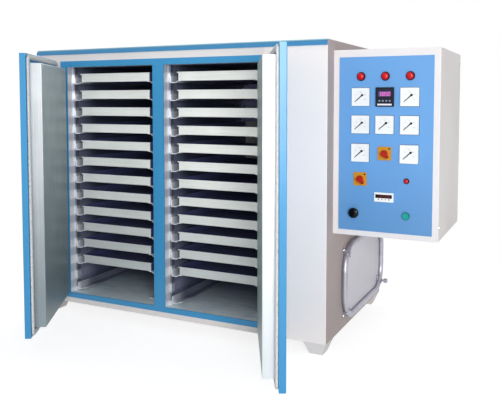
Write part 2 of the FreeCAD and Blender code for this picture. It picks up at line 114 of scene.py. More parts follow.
# Name, degrees round from the front to the right, degrees up, metres away, width, height, watts.
for name, azimuth, height, distance, width, tall, power in (
        ("main_lamp", 32, 8.5, 5.5, 1.6, 1.5, 162),
        ("rear_lamp", 208, 24, 6.0, 3.0, 2.0, 100)):
    lamp = bpy.data.objects.new(name, bpy.data.lights.new(name, "AREA"))
    bpy.context.scene.collection.objects.link(lamp)
    lamp.data.shape = "RECTANGLE"
    lamp.data.size = width
    lamp.data.size_y = tall
    lamp.data.energy = power
    level = math.cos(math.radians(height))
    toward_lamp = Vector((math.sin(math.radians(azimuth)) * level, -math.cos(math.radians(azimuth)) * level,
                          math.sin(math.radians(height))))
    lamp.location = at(900, 400, 650) + toward_lamp * distance
    lamp.rotation_mode = "QUATERNION"
    lamp.rotation_quaternion = (-toward_lamp).to_track_quat("-Z", "Y")

floor_paper = bpy.data.materials.new("white_backdrop_paper")
floor_paper.use_nodes = True
tree = floor_paper.node_tree
tree.nodes.clear()
place = add(tree, "ShaderNodeTexCoord").outputs["Object"]
distance = add(tree, "ShaderNodeVectorMath", {0: place}, operation="LENGTH").outputs["Value"]
far = add(tree, "ShaderNodeMapRange", {0: distance, 1: 1.1, 2: 2.6, 3: 0.0, 4: 1.0},
          interpolation_type="SMOOTHSTEP").outputs[0]
shaded = add(tree, "ShaderNodeBsdfDiffuse", {"Color": colour("B4B4B4")}).outputs[0]
lift = add(tree, "ShaderNodeEmission", {"Color": colour("FFFFFF"), "Strength": 0.76}).outputs[0]
near_look = add(tree, "ShaderNodeAddShader", {0: shaded, 1: lift}).outputs[0]
far_look = add(tree, "ShaderNodeEmission", {"Color": colour("FFFFFF"), "Strength": 1.0}).outputs[0]
seen_look = add(tree, "ShaderNodeMixShader", {0: far, 1: near_look, 2: far_look}).outputs[0]
plain = add(tree, "ShaderNodeBsdfDiffuse", {"Color": colour("E6E6E6")}).outputs[0]
paper = add(tree, "ShaderNodeMixShader", {0: seen_rays(tree), 1: plain, 2: seen_look}).outputs[0]
add(tree, "ShaderNodeOutputMaterial", {0: paper})

floor_mesh = bpy.data.meshes.new("floor")
floor_mesh.from_pydata([(-30, -30, -0.0004), (30, -30, -0.0004), (30, 30, -0.0004), (-30, 30, -0.0004)],
                       [], [(0, 1, 2, 3)])
floor_mesh.materials.append(floor_paper)
floor = bpy.data.objects.new("floor", floor_mesh)
bpy.context.scene.collection.objects.link(floor)


# Body. Insulated sheet-steel walls, floor, roof and back, and the four feet, all sprayed with
# ivory enamel. The enamel is smooth and half glossy, with a faint orange peel about 4 mm across
# and a soft cloudiness, a little greyer towards the floor. Dust makes its level tops dead matt.
def zoned(tree, paint, zones):
    """Darken a colour in zones. Each is an axis or the direction that the bare surface faces, the
    values between which the zone fades in, and the colour that it is multiplied by."""
    here = add(tree, "ShaderNodeTexCoord").outputs
    for along, start, end, code in zones:
        if isinstance(along, str):
            value = add(tree, "ShaderNodeSeparateXYZ", {0: here["Object"]}).outputs[along]
        else:
            value = add(tree, "ShaderNodeVectorMath", {0: here["Normal"], 1: along},
                        operation="DOT_PRODUCT").outputs["Value"]
        share = add(tree, "ShaderNodeMapRange", {0: value, 1: start, 2: end},
                    interpolation_type="SMOOTHSTEP").outputs[0]
        paint = add(tree, "ShaderNodeMix", {0: share, 6: paint, 7: colour(code)}, data_type="RGBA",
                    blend_type="MULTIPLY").outputs[2]
    return paint


def matt_tops(tree, shine):
    """Keep a roughness on every side but the level tops, which dust or dirt makes dead matt."""
    facing = add(tree, "ShaderNodeSeparateXYZ", {0: add(tree, "ShaderNodeTexCoord").outputs["Normal"]})
    dusty = add(tree, "ShaderNodeMapRange", {0: facing.outputs["Z"], 1: 0.7, 2: 0.95}).outputs[0]
    return add(tree, "ShaderNodeMix", {0: dusty, 2: shine, 3: 0.97}, data_type="FLOAT").outputs[0]


def enamel(name, fresh, aged, roughness, peel_height, zones=(), gloss=0.5):
    """Sprayed paint, cloudy between its fresh and aged colours, with a fine orange peel."""
    made = bpy.data.materials.new(name)
    made.use_nodes = True
    tree = made.node_tree
    tree.nodes.clear()
    place = add(tree, "ShaderNodeTexCoord").outputs["Object"]
    clouds = add(tree, "ShaderNodeTexNoise", {"Vector": place, "Scale": 2.2, "Detail": 5.0,
                                              "Roughness": 0.55}).outputs["Fac"]
    height = add(tree, "ShaderNodeSeparateXYZ", {0: place}).outputs["Z"]
    low = add(tree, "ShaderNodeMapRange", {0: height, 1: 0.9, 2: 0.0, 3: -0.25, 4: 0.35}).outputs[0]
    age = add(tree, "ShaderNodeMath", {0: clouds, 1: low}, operation="ADD", use_clamp=True).outputs[0]
    paint = add(tree, "ShaderNodeMix", {0: age, 6: colour(fresh), 7: colour(aged)},
                data_type="RGBA").outputs[2]
    paint = zoned(tree, paint, zones)
    peel = add(tree, "ShaderNodeTexNoise", {"Vector": place, "Scale": 240.0, "Detail": 1.0}).outputs["Fac"]
    relief = add(tree, "ShaderNodeBump", {"Height": peel, "Strength": 0.6,
                                          "Distance": peel_height}).outputs[0]
    shine = add(tree, "ShaderNodeMapRange", {0: clouds, 1: 0.3, 2: 0.7, 3: roughness - 0.05,
                                             4: roughness + 0.06}).outputs[0]
    shine = matt_tops(tree, shine)
    shader = add(tree, "ShaderNodeBsdfPrincipled", {"Base Color": paint, "Roughness": shine, "IOR": 1.5,
                                                    "Specular IOR Level": gloss, "Normal": relief})
    add(tree, "ShaderNodeOutputMaterial", {0: shader.outputs[0]})
    return made


def dress(material, *names):
    """Give the solids of the named nodes a material."""
    for name in names:
        nodes[name].material_slots[0].material = material


ivory_enamel = enamel("ivory_enamel", "EFEBEB", "DFDAD9", 0.52, 0.00012, gloss=0.25)
dress(ivory_enamel, "left_wall", "floor_slab", "roof_slab", "back_wall", "feet", "control_box")

# The right wall's front, behind the open door, is painted lighter to offset the door's shade. Its outer
# side is painted darker as shade, greyer than the front and the box, and its back and top match the other
# walls.
dress(enamel("right_wall_painted_light_enamel", "FBF4F0", "EFE7E3", 0.52, 0.00012,
             [((0, -1, 0), 0.9, 0.5, "F3F5FA"), ((1, 0, 0), 0.6, 0.95, "C1B8B6")], 0.25), "right_wall")


# Blue trim. The folded cap along the roof's front edge, the flat door frame and the outer skins
# of both doors are sprayed with a medium blue enamel, glossier than the ivory.
blue_enamel = enamel("blue_enamel", "3A98CE", "3289BC", 0.34, 0.00008)
dress(blue_enamel, "left_jamb", "right_jamb", "head_rail", "sill", "mullion", "left_door_panel",
      "right_door_panel")

# The cap's top edge is painted light cyan as a highlight; the rest keeps the blue.
dress(enamel("cap_blue_painted_highlight", "90C8DA", "86BED2", 0.36, 0.00008,
             [("Z", 1.2925, 1.289, "70B4E0")]), "roof_cap")


# Chamber. Sides, ceiling, floor, back and the partition are bright rolled stainless sheet. The
# rolling leaves fine upright streaks; soft level bands painted into the colour stand in for reflections of
# the ledges.
def banded(tree, paint, pitch, middle, code):
    """Darken a colour in soft level bands, one to a pitch; middle is the height of any one of them."""
    place = add(tree, "ShaderNodeTexCoord").outputs["Object"]
    height = add(tree, "ShaderNodeSeparateXYZ", {0: place}).outputs["Z"]
    above = add(tree, "ShaderNodeMath", {0: height, 1: middle}, operation="SUBTRACT").outputs[0]
    turns = add(tree, "ShaderNodeMath", {0: above, 1: 2 * math.pi / pitch}, operation="MULTIPLY").outputs[0]
    wave = add(tree, "ShaderNodeMath", {0: turns}, operation="COSINE").outputs[0]
    share = add(tree, "ShaderNodeMapRange", {0: wave, 1: -0.5, 2: 0.6},
                interpolation_type="SMOOTHSTEP").outputs[0]
    return add(tree, "ShaderNodeMix", {0: share, 6: paint, 7: colour(code)}, data_type="RGBA",
               blend_type="MULTIPLY").outputs[2]


def sheet_metal(name, bright, dull, roughness, metallic, streaks, relief_height, zones=(), bands=None,
                caked=False):
    """Bare sheet. streaks is their number in a metre along X, Y and Z; zones and bands darken it,
    and a caked sheet is dead matt on its level tops."""
    made = bpy.data.materials.new(name)
    made.use_nodes = True
    tree = made.node_tree
    tree.nodes.clear()
    place = add(tree, "ShaderNodeTexCoord").outputs["Object"]
    stretched = add(tree, "ShaderNodeVectorMath", {0: place, 1: streaks}, operation="MULTIPLY").outputs[0]
    lines = add(tree, "ShaderNodeTexNoise", {"Vector": stretched, "Scale": 1.0, "Detail": 4.0,
                                             "Roughness": 0.6}).outputs["Fac"]
    clouds = add(tree, "ShaderNodeTexNoise", {"Vector": place, "Scale": 7.0, "Detail": 3.0}).outputs["Fac"]
    both = add(tree, "ShaderNodeMix", {0: 0.4, 2: lines, 3: clouds}, data_type="FLOAT").outputs[0]
    sharp = add(tree, "ShaderNodeMapRange", {0: both, 1: 0.35, 2: 0.65}).outputs[0]
    metal = add(tree, "ShaderNodeMix", {0: sharp, 6: colour(dull), 7: colour(bright)},
                data_type="RGBA").outputs[2]
    metal = zoned(tree, metal, zones)
    if bands:
        metal = banded(tree, metal, *bands)
    shine = add(tree, "ShaderNodeMapRange", {0: sharp, 1: 0.0, 2: 1.0, 3: roughness + 0.06,
                                             4: roughness - 0.05}).outputs[0]
    if caked:
        shine = matt_tops(tree, shine)
    relief = add(tree, "ShaderNodeBump", {"Height": lines, "Strength": 0.5,
                                          "Distance": relief_height}).outputs[0]
    shader = add(tree, "ShaderNodeBsdfPrincipled", {"Base Color": metal, "Metallic": metallic,
                                                    "Roughness": shine, "Normal": relief})
    add(tree, "ShaderNodeOutputMaterial", {0: shader.outputs[0]})
    return made


def behind(y):
    """Y of a place that lies y millimetres behind the body's front."""
    return at(0, y, 0).y


# Painted bands darken the sheet between the tiers of trays, 81 mm apart, and painted bluish shade darkens it
# further in.
tier_pitch = 0.081
painted_band_height = 1.1145
rolled_stainless = sheet_metal("rolled_stainless", "FCFDFF", "DEE1E8", 0.34, 0.25, (120, 120, 8), 0.00005,
                               [("Y", behind(50), behind(90), "9498AE"),
                                ("Y", behind(90), behind(230), "9CA0AC")],
                               (tier_pitch, painted_band_height, "DADDE4"))
dress(rolled_stainless, "side_linings", "chamber_ceiling", "partition")

# The back sheet is painted a violet tint that stands in for the colour of the shade between the trays, and
# its shine is soft.
dress(sheet_metal("violet_shade_tinted_stainless", "D8D6FF", "C0BEF4", 0.46, 0.7, (60, 60, 4), 0.00002),
      "back_lining")

# The floor sheet is scuffed dull by years of sweeping, and painted shade darkens it towards the back.
scuffed_stainless_painted_shade = sheet_metal("scuffed_stainless_painted_shade", "F2FDFF", "CCDCE2", 0.4, 0.12, (9, 30, 9), 0.0002,
                                [("Y", behind(60), behind(500), "8C94A8")])
dress(scuffed_stainless_painted_shade, "chamber_floor")


# Racks. Folded sheet ledges on flat posts, both of stainless; painted shade darkens them further in
# from their cut front ends. The posts carry painted bands between the tiers, as the lining behind them does.
rack_stainless = sheet_metal("folded_stainless", "FCFDFF", "E2E6EE", 0.3, 0.3, (90, 90, 30), 0.0001,
                             [("Y", behind(46), behind(80), "C6CAD2"),
                              ("Y", behind(80), behind(160), "9A9EAC")])
dress(rack_stainless, "left_bay_ledges", "right_bay_ledges")
post_stainless = sheet_metal("flat_bar_stainless", "D6D9E0", "B4B8C2", 0.3, 0.5, (90, 90, 30), 0.0001,
                             [("Y", behind(60), behind(200), "C0C4DC")],
                             (tier_pitch, painted_band_height, "8A8E9A"))
dress(post_stainless, "rack_posts")


# Trays. Pressed aluminium. The fronts are pale and satin with long level scratches, and baked-on
# product leaves the level tops dead matt. The insides and sides are painted a dull bluish grey as shade, and
# the trays get slightly darker towards the bottom.
pressed_aluminium = sheet_metal("tray_aluminium_painted_shade", "FCFEFA", "E6EAE4", 0.42, 0.12, (5, 5, 420), 0.00015,
                                [((0, 1, 0), -0.95, -0.5, "B4B8D8"), ((0, 0, 1), 0.5, 0.95, "A4A8D0"),
                                 ((1, 0, 0), 0.8, 0.98, "8488AE"), ((-1, 0, 0), 0.8, 0.98, "8488AE"),
                                 ("Z", 0.9, 0.15, "C8CCD0")], caked=True)
dress(pressed_aluminium, "left_trays", "right_trays")


# Door plugs. Satin stainless sheet folded round the insulation, brushed upright. The two plugs get
# lit and shaded tones: the right one is painted nearly white at its sides as reflected light, with painted
# grey-green shade on its broad inner face. Both darken downwards.
door_turn = {"left": math.radians(-60), "right": math.radians(117)}
plug_painted_tones = {"left": ("D8DCDE", "C0C5C8", "F2FCFA", "A8B2B8"),
              "right": ("FCFDFD", "EDF0F1", "A8BAB4", "DADFE3")}
for side, (bright, dull, inner_face_shade, low_tint) in plug_painted_tones.items():
    inner_way = (-math.sin(door_turn[side]), math.cos(door_turn[side]), 0)
    plug_metal = sheet_metal(side + "_plug_stainless", bright, dull, 0.45, 0.3, (230, 230, 2.5), 0.0002,
                             [(inner_way, 0.9, 0.99, inner_face_shade), ("Z", 1.15, 0.15, low_tint)])
    dress(plug_metal, side + "_door_plug")


# Door gaskets. Braided glass-fibre rope, 20 mm wide and 12 mm thick, glued round the edge of each
# door panel. Two families of strands cross at an angle; the valleys between them are painted darker as shade,
# patchy with dust.
glass_rope = bpy.data.materials.new("glass_fibre_rope")
glass_rope.use_nodes = True
tree = glass_rope.node_tree
tree.nodes.clear()
strand = add(tree, "ShaderNodeAttribute", attribute_name="strand").outputs["Fac"]
place = add(tree, "ShaderNodeTexCoord").outputs["Object"]
dust = add(tree, "ShaderNodeTexNoise", {"Vector": place, "Scale": 160.0, "Detail": 2.0}).outputs["Fac"]
# The valleys are painted darker as shade, and the dust noise makes it patchy.
valley_shade_and_dust = add(tree, "ShaderNodeMath", {0: strand, 1: dust}, operation="MULTIPLY").outputs[0]
crest_share = add(tree, "ShaderNodeMapRange", {0: valley_shade_and_dust, 1: 0.08, 2: 0.3}).outputs[0]
fibre = add(tree, "ShaderNodeMix", {0: crest_share, 6: colour("989EA4"), 7: colour("FBFBF9")},
            data_type="RGBA").outputs[2]
shader = add(tree, "ShaderNodeBsdfPrincipled", {"Base Color": fibre, "Roughness": 0.75})
add(tree, "ShaderNodeOutputMaterial", {0: shader.outputs[0]})


def geometry_tree(name, sizes):
    """Geometry node tree with a geometry input and one named number input for each size."""
    made = bpy.data.node_groups.new(name, "GeometryNodeTree")
    made.interface.new_socket("Geometry", in_out="INPUT", socket_type="NodeSocketGeometry")
    for label, value in sizes.items():
        kind = "NodeSocketInt" if isinstance(value, int) else "NodeSocketFloat"
        made.interface.new_socket(label, in_out="INPUT", socket_type=kind).default_value = value
    made.interface.new_socket("Geometry", in_out="OUTPUT", socket_type="NodeSocketGeometry")
    return made, add(made, "NodeGroupInput").outputs


def grow(name, tree, carrier_mesh, sizes, placing):
    """Run a tree on a carrier mesh and keep the result, put in place, as a plain mesh object."""
    piece = bpy.data.objects.new(name, carrier_mesh)
    bpy.context.scene.collection.objects.link(piece)
    builder = piece.modifiers.new("builder", "NODES")
    builder.node_group = tree
    for item in tree.interface.items_tree:
        if item.in_out == "INPUT" and item.name in sizes:
            builder[item.identifier] = sizes[item.name]
    graph = bpy.context.evaluated_depsgraph_get()
    grown = bpy.data.meshes.new_from_object(piece.evaluated_get(graph), preserve_all_data_layers=True,
                                            depsgraph=graph)
    piece.modifiers.remove(builder)
    grown.transform(placing)
    piece.data = grown
    return piece


rope_left, rope_right = 142, 695
rope_bottom, rope_top = 84, 1235
rope_front, rope_depth = -19, 12
rope_width = 20

# The core is 1.4 and 1.2 mm thinner than the rope, which leaves room for the strands.
rope_sizes = {"Loop width": (rope_right - rope_left - rope_width) / 1000,
              "Loop height": (rope_top - rope_bottom - rope_width) / 1000, "Rope width": 0.0186,
              "Rope thickness": 0.0108, "Corner radius": 0.014, "Step": 0.002,
              "Sides": 24, "Strands": 7.0, "Crossing length": 0.009, "Strand height": 0.0009}
rope_tree, size = geometry_tree("braided_rope", rope_sizes)
path = add(rope_tree, "GeometryNodeCurvePrimitiveQuadrilateral",
           {"Width": size["Loop width"], "Height": size["Loop height"]}).outputs[0]
path = add(rope_tree, "GeometryNodeFilletCurve", {"Curve": path, "Count": 8,
                                                  "Radius": size["Corner radius"]}, mode="POLY").outputs[0]
path = add(rope_tree, "GeometryNodeResampleCurve", {"Curve": path, "Length": size["Step"]},
           mode="LENGTH").outputs[0]
path = add(rope_tree, "GeometryNodeSetCurveNormal", {"Curve": path}, mode="Z_UP").outputs[0]
run = add(rope_tree, "GeometryNodeSplineParameter").outputs["Length"]
held_path = add(rope_tree, "GeometryNodeCaptureAttribute", {"Geometry": path})
held_path.capture_items.new("FLOAT", "run")
rope_tree.links.new(run, held_path.inputs[1])
ring = add(rope_tree, "GeometryNodeCurvePrimitiveCircle",
           {"Resolution": size["Sides"], "Radius": 0.5}).outputs[0]
turn = add(rope_tree, "GeometryNodeSplineParameter").outputs["Factor"]
held_ring = add(rope_tree, "GeometryNodeCaptureAttribute", {"Geometry": ring})
held_ring.capture_items.new("FLOAT", "turn")
rope_tree.links.new(turn, held_ring.inputs[1])
squeeze = add(rope_tree, "ShaderNodeCombineXYZ", {0: size["Rope width"], 1: size["Rope thickness"], 2: 1.0})
oval = add(rope_tree, "GeometryNodeTransform", {"Geometry": held_ring.outputs[0],
                                                "Scale": squeeze.outputs[0]}).outputs[0]
tube = add(rope_tree, "GeometryNodeCurveToMesh", {"Curve": held_path.outputs[0], "Profile Curve": oval})
around = add(rope_tree, "ShaderNodeMath", {0: held_ring.outputs[1], 1: size["Strands"]},
             operation="MULTIPLY").outputs[0]
along = add(rope_tree, "ShaderNodeMath", {0: held_path.outputs[1], 1: size["Crossing length"]},
            operation="DIVIDE").outputs[0]
crests = []
for hand in ("ADD", "SUBTRACT"):
    mixed = add(rope_tree, "ShaderNodeMath", {0: around, 1: along}, operation=hand).outputs[0]
    half_turns = add(rope_tree, "ShaderNodeMath", {0: mixed, 1: math.pi}, operation="MULTIPLY").outputs[0]
    wave = add(rope_tree, "ShaderNodeMath", {0: half_turns}, operation="SINE").outputs[0]
    crests.append(add(rope_tree, "ShaderNodeMath", {0: wave}, operation="ABSOLUTE").outputs[0])
strand = add(rope_tree, "ShaderNodeMath", {0: crests[0], 1: crests[1]}, operation="MULTIPLY").outputs[0]
stored = add(rope_tree, "GeometryNodeStoreNamedAttribute", {"Geometry": tube.outputs[0], "Name": "strand",
                                                            "Value": strand}, data_type="FLOAT").outputs[0]
outward = add(rope_tree, "GeometryNodeInputNormal").outputs[0]
rise = add(rope_tree, "ShaderNodeMath", {0: strand, 1: size["Strand height"]},
           operation="MULTIPLY").outputs[0]
lift = add(rope_tree, "ShaderNodeVectorMath", {0: outward, "Scale": rise}, operation="SCALE").outputs[0]
risen = add(rope_tree, "GeometryNodeSetPosition", {"Geometry": stored, "Offset": lift}).outputs[0]
real = add(rope_tree, "GeometryNodeRealizeInstances", {"Geometry": risen}).outputs[0]
covered = add(rope_tree, "GeometryNodeSetMaterial", {"Geometry": real, "Material": glass_rope}).outputs[0]
add(rope_tree, "NodeGroupOutput", {0: covered})

# The rope is made flat, stood up in the shut door's plane, and swung open with its door.
hinge_place = {joint["name"]: Vector(joint["pos_m"]) for joint in frame["joints"] if "pos_m" in joint}
opening_left, opening_right = 178, 1226
rope_x = {"left": (rope_left + rope_right) / 2}
rope_x["right"] = opening_left + opening_right - rope_x["left"]
rope_y = rope_front + rope_depth / 2
rope_z = (rope_bottom + rope_top) / 2
stand_up = Matrix.Rotation(math.pi / 2, 4, "X")
for side, angle in door_turn.items():
    axis = hinge_place[side + "_door_hinge"]
    axis = Vector((axis.x, axis.y, 0))
    swing = Matrix.Translation(axis) @ Matrix.Rotation(angle, 4, "Z") @ Matrix.Translation(-axis)
    placing = swing @ Matrix.Translation(at(rope_x[side], rope_y, rope_z)) @ stand_up
    rope = grow(side + "_door_rope_gasket", rope_tree, bpy.data.meshes.new("rope_carrier"), rope_sizes,
                placing)
    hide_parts(side + "_door_gasket")
    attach(rope, side + "_door")


# Hinges. Turned steel knuckles on short plates, zinc plated, which leaves a soft grey shine, and
# slotted pan-head screws of the same finish.
zinc_plate = sheet_metal("zinc_plated_steel", "D2D4D2", "A2A5A6", 0.3, 1.0, (400, 400, 60), 0.00005)
dress(zinc_plate, "hinge_seats", "left_door_hinges", "right_door_hinges")

screw_sizes = {"Head radius": 0.0045, "Head height": 0.0028, "Slot width": 0.0011, "Slot depth": 0.0012,
               "Sides": 16, "Seed": 4}
screw_tree, size = geometry_tree("slotted_screws", screw_sizes)
top_radius = add(screw_tree, "ShaderNodeMath", {0: size["Head radius"], 1: 0.78},
                 operation="MULTIPLY").outputs[0]
shank = add(screw_tree, "GeometryNodeMeshCone",
            {"Vertices": size["Sides"], "Radius Bottom": size["Head radius"], "Radius Top": top_radius,
             "Depth": size["Head height"]})
slot_length = add(screw_tree, "ShaderNodeMath", {0: size["Head radius"], 1: 3.0},
                  operation="MULTIPLY").outputs[0]
slot_size = add(screw_tree, "ShaderNodeCombineXYZ",
                {0: slot_length, 1: size["Slot width"], 2: size["Slot depth"]})
slot_block = add(screw_tree, "GeometryNodeMeshCube", {"Size": slot_size.outputs[0]}).outputs[0]
slot_place = add(screw_tree, "ShaderNodeCombineXYZ", {2: size["Head height"]}).outputs[0]
slot_block = add(screw_tree, "GeometryNodeTransform", {"Geometry": slot_block,
                                                       "Translation": slot_place}).outputs[0]
head = add(screw_tree, "GeometryNodeMeshBoolean", {0: shank.outputs[0], 1: slot_block},
           operation="DIFFERENCE").outputs[0]
facing = add(screw_tree, "GeometryNodeInputNamedAttribute", {"Name": "facing"},
             data_type="FLOAT_VECTOR").outputs[0]
upright = add(screw_tree, "FunctionNodeAlignRotationToVector", {"Vector": facing}, axis="Z").outputs[0]
heads = add(screw_tree, "GeometryNodeInstanceOnPoints", {"Points": size["Geometry"], "Instance": head,
                                                         "Rotation": upright}).outputs[0]
chance = add(screw_tree, "FunctionNodeRandomValue", {2: 0.0, 3: 3.14, "Seed": size["Seed"]},
             data_type="FLOAT").outputs[1]
spin = add(screw_tree, "ShaderNodeCombineXYZ", {2: chance}).outputs[0]
heads = add(screw_tree, "GeometryNodeRotateInstances", {"Instances": heads, "Rotation": spin}).outputs[0]
real = add(screw_tree, "GeometryNodeRealizeInstances", {"Geometry": heads}).outputs[0]
real = add(screw_tree, "GeometryNodeSetMaterial", {"Geometry": real, "Material": zinc_plate}).outputs[0]
add(screw_tree, "NodeGroupOutput", {0: real})

# Two screws hold each frame half of a hinge, four the control box's side, and two each strap of
# the access cover, one outside and one inside its bend.
lowest_hinge, highest_hinge = 250, 1069
seat_height = 35
seat_face_y = -3
seat_columns = (107, 1297)
screw_inset = 9
screw_places = []
for row in (lowest_hinge, (lowest_hinge + highest_hinge) / 2, highest_hinge):
    for x in seat_columns:
        for z in (row - seat_height + screw_inset, row - screw_inset):
            screw_places.append((at(x, seat_face_y, z), (0, -1, 0)))
body_width = 1505
box_width = 425
box_screw_columns = (96, 566)
box_screw_rows = (556, 1212)
for y in box_screw_columns:
    for z in box_screw_rows:
        screw_places.append((at(body_width + box_width, y, z), (1, 0, 0)))

# Each strap crosses a bend of the tube: y and z of the bend's middle, and the strap's way in degrees.
bend_radius = 109.3
strap_reach = 25.4
for mid_y, mid_z, angle in ((712, 305, 45), (318, 305, 135), (318, 206, 225), (712, 206, 315)):
    for radius, proud in ((bend_radius + strap_reach, 3), (bend_radius - strap_reach, 9)):
        spoke = Vector((math.cos(math.radians(angle)), math.sin(math.radians(angle)))) * radius
        screw_places.append((at(body_width + proud, mid_y + spoke.x, mid_z + spoke.y), (1, 0, 0)))
carrier = bpy.data.meshes.new("screw_carrier")
carrier.from_pydata([spot for spot, way in screw_places], [], [])
carrier.attributes.new("facing", "FLOAT_VECTOR", "POINT").data.foreach_set(
    "vector", [part for spot, way in screw_places for part in way])
screws = grow("panel_screws", screw_tree, carrier, screw_sizes, Matrix.Identity(4))
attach(screws, "cabinet")


# Instrument plate. Steel plate on the control box's front, with a smooth satin sky-blue coat that
# gets slightly darker towards its foot.
plate_coat = enamel("satin_sky_blue", "6CA6E0", "5F9AD4", 0.5, 0.00005, [("Z", 0.9, 0.5, "EAEAE8")])
dress(plate_coat, "instrument_plate")


# Panel meters. White moulded ABS bezels 72 mm square with a recessed white dial: printed ticks
# over 240 degrees, plain numbers, and a black needle with a heavy tail, resting near its zero.
def plastic(name, code, roughness, grain, gloss=0.5, zones=()):
    """Moulded plastic: one colour with a fine even grain in its skin."""
    made = bpy.data.materials.new(name)
    made.use_nodes = True
    tree = made.node_tree
    tree.nodes.clear()
    place = add(tree, "ShaderNodeTexCoord").outputs["Object"]
    speckle = add(tree, "ShaderNodeTexNoise", {"Vector": place, "Scale": 900.0, "Detail": 2.0}).outputs["Fac"]
    shade = add(tree, "ShaderNodeMapRange", {0: speckle, 3: 0.94, 4: 1.06}).outputs[0]
    paint = add(tree, "ShaderNodeVectorMath", {0: colour(code)[:3], "Scale": shade},
                operation="SCALE").outputs[0]
    paint = zoned(tree, paint, zones)
    relief = add(tree, "ShaderNodeBump", {"Height": speckle, "Strength": 0.4, "Distance": grain}).outputs[0]
    shader = add(tree, "ShaderNodeBsdfPrincipled", {"Base Color": paint, "Roughness": roughness, "IOR": 1.53,
                                                    "Specular IOR Level": gloss, "Normal": relief})
    add(tree, "ShaderNodeOutputMaterial", {0: shader.outputs[0]})
    return made


white_abs = plastic("white_abs", "F4F5F3", 0.4, 0.00003)
black_print = plastic("black_print", "0C0D10", 0.55, 0.00001, 0.2)
grey_print = plastic("grey_print", "8C8F92", 0.6, 0.00001)
dress(white_abs, "panel_meters", "digital_timer")

# Rows and columns of the instruments on the plate.
plate_mid = 1717.5
plate_bottom = 523
plate_front = 77
column_pitch = 98


def on_plate(columns, height, ahead=0):
    """Place on the plate: columns right of its middle, mm above its foot, mm ahead of its face."""
    return at(plate_mid + columns * column_pitch, plate_front - ahead, plate_bottom + height)


top_row, middle_row, low_row = 541, 431, 317
meter_grid = [(-1, top_row), (1, top_row), (-1, middle_row), (0, middle_row), (1, middle_row),
              (-1, low_row), (1, low_row)]
dial_face = 7
meter_spots = [on_plate(column, row, dial_face) for column, row in meter_grid]

tick_sizes = {"Scale radius": 0.0245, "Tick length": 0.0028, "Tick width": 0.0005, "Ink": 0.0002,
              "Ticks": 25}
tick_tree, size = geometry_tree("dial_ticks", tick_sizes)
arc = add(tick_tree, "GeometryNodeCurveArc",
          {"Resolution": size["Ticks"], "Radius": size["Scale radius"], "Start Angle": math.radians(-30),
           "Sweep Angle": math.radians(240)})
spots = add(tick_tree, "GeometryNodeCurveToPoints", {"Curve": arc.outputs[0]}, mode="EVALUATED")
tick_size = add(tick_tree, "ShaderNodeCombineXYZ",
                {0: size["Tick width"], 1: size["Tick length"], 2: size["Ink"]})
tick = add(tick_tree, "GeometryNodeMeshCube", {"Size": tick_size.outputs[0]}).outputs[0]
spoke = add(tick_tree, "GeometryNodeInputPosition").outputs[0]
outward = add(tick_tree, "FunctionNodeAlignRotationToVector", {"Vector": spoke}, axis="Y").outputs[0]
ticks = add(tick_tree, "GeometryNodeInstanceOnPoints", {"Points": spots.outputs[0], "Instance": tick,
                                                        "Rotation": outward}).outputs[0]
dial = add(tick_tree, "GeometryNodeTransform", {"Geometry": ticks,
                                                "Rotation": (math.pi / 2, 0, 0)}).outputs[0]
dials = add(tick_tree, "GeometryNodeInstanceOnPoints", {"Points": size["Geometry"],
                                                        "Instance": dial}).outputs[0]
real = add(tick_tree, "GeometryNodeRealizeInstances", {"Geometry": dials}).outputs[0]
real = add(tick_tree, "GeometryNodeSetMaterial", {"Geometry": real, "Material": grey_print}).outputs[0]
add(tick_tree, "NodeGroupOutput", {0: real})
carrier = bpy.data.meshes.new("dial_carrier")
carrier.from_pydata(meter_spots, [], [])
dial_ticks = grow("dial_ticks", tick_tree, carrier, tick_sizes, Matrix.Identity(4))
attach(dial_ticks, "cabinet")


def keep(name, solid, material, body):
    """Turn a bmesh into a piece that rides on a body."""
    made = bpy.data.meshes.new(name)
    bmesh.ops.recalc_face_normals(solid, faces=solid.faces)
    solid.to_mesh(made)
    solid.free()
    made.materials.append(material)
    piece = bpy.data.objects.new(name, made)
    bpy.context.scene.collection.objects.link(piece)
    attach(piece, body)
    return piece


def raised(solid, outline, spot, depth):
    """Add a flat shape that stands depth metres forward of a spot; outline is (x, z) in metres."""
    rear = [solid.verts.new(spot + Vector((x, 0, z))) for x, z in outline]
    front = [solid.verts.new(spot + Vector((x, -depth, z))) for x, z in outline]
    solid.faces.new(rear)
    solid.faces.new(front)
    for i in range(len(outline)):
        j = (i + 1) % len(outline)
        solid.faces.new((rear[i], rear[j], front[j], front[i]))


def disc(x, z, radius):
    """Outline of a round spot."""
    return [(x + radius * math.cos(i * math.pi / 8), z + radius * math.sin(i * math.pi / 8))
            for i in range(16)]


def panel_block(solid, spot, width, height, depth):
    """Add a rectangle that stands depth metres forward of a spot, which is its middle."""
    raised(solid, [(-width / 2, -height / 2), (width / 2, -height / 2), (width / 2, height / 2),
                   (-width / 2, height / 2)], spot, depth)


# A black sponge rubber seal, 1.2 mm thick, is put round each bezel as a thin dark line that stands in for its
# shadow.
bezel_shadow_rubber = plastic("bezel_shadow_rubber", "17191F", 0.8, 0.00008, 0.2)
seal_width = 0.0748
seals = bmesh.new()
for column, row in meter_grid:
    panel_block(seals, on_plate(column, row), seal_width, seal_width, 0.0012)
keep("bezel_shadow_seals", seals, bezel_shadow_rubber, "cabinet")

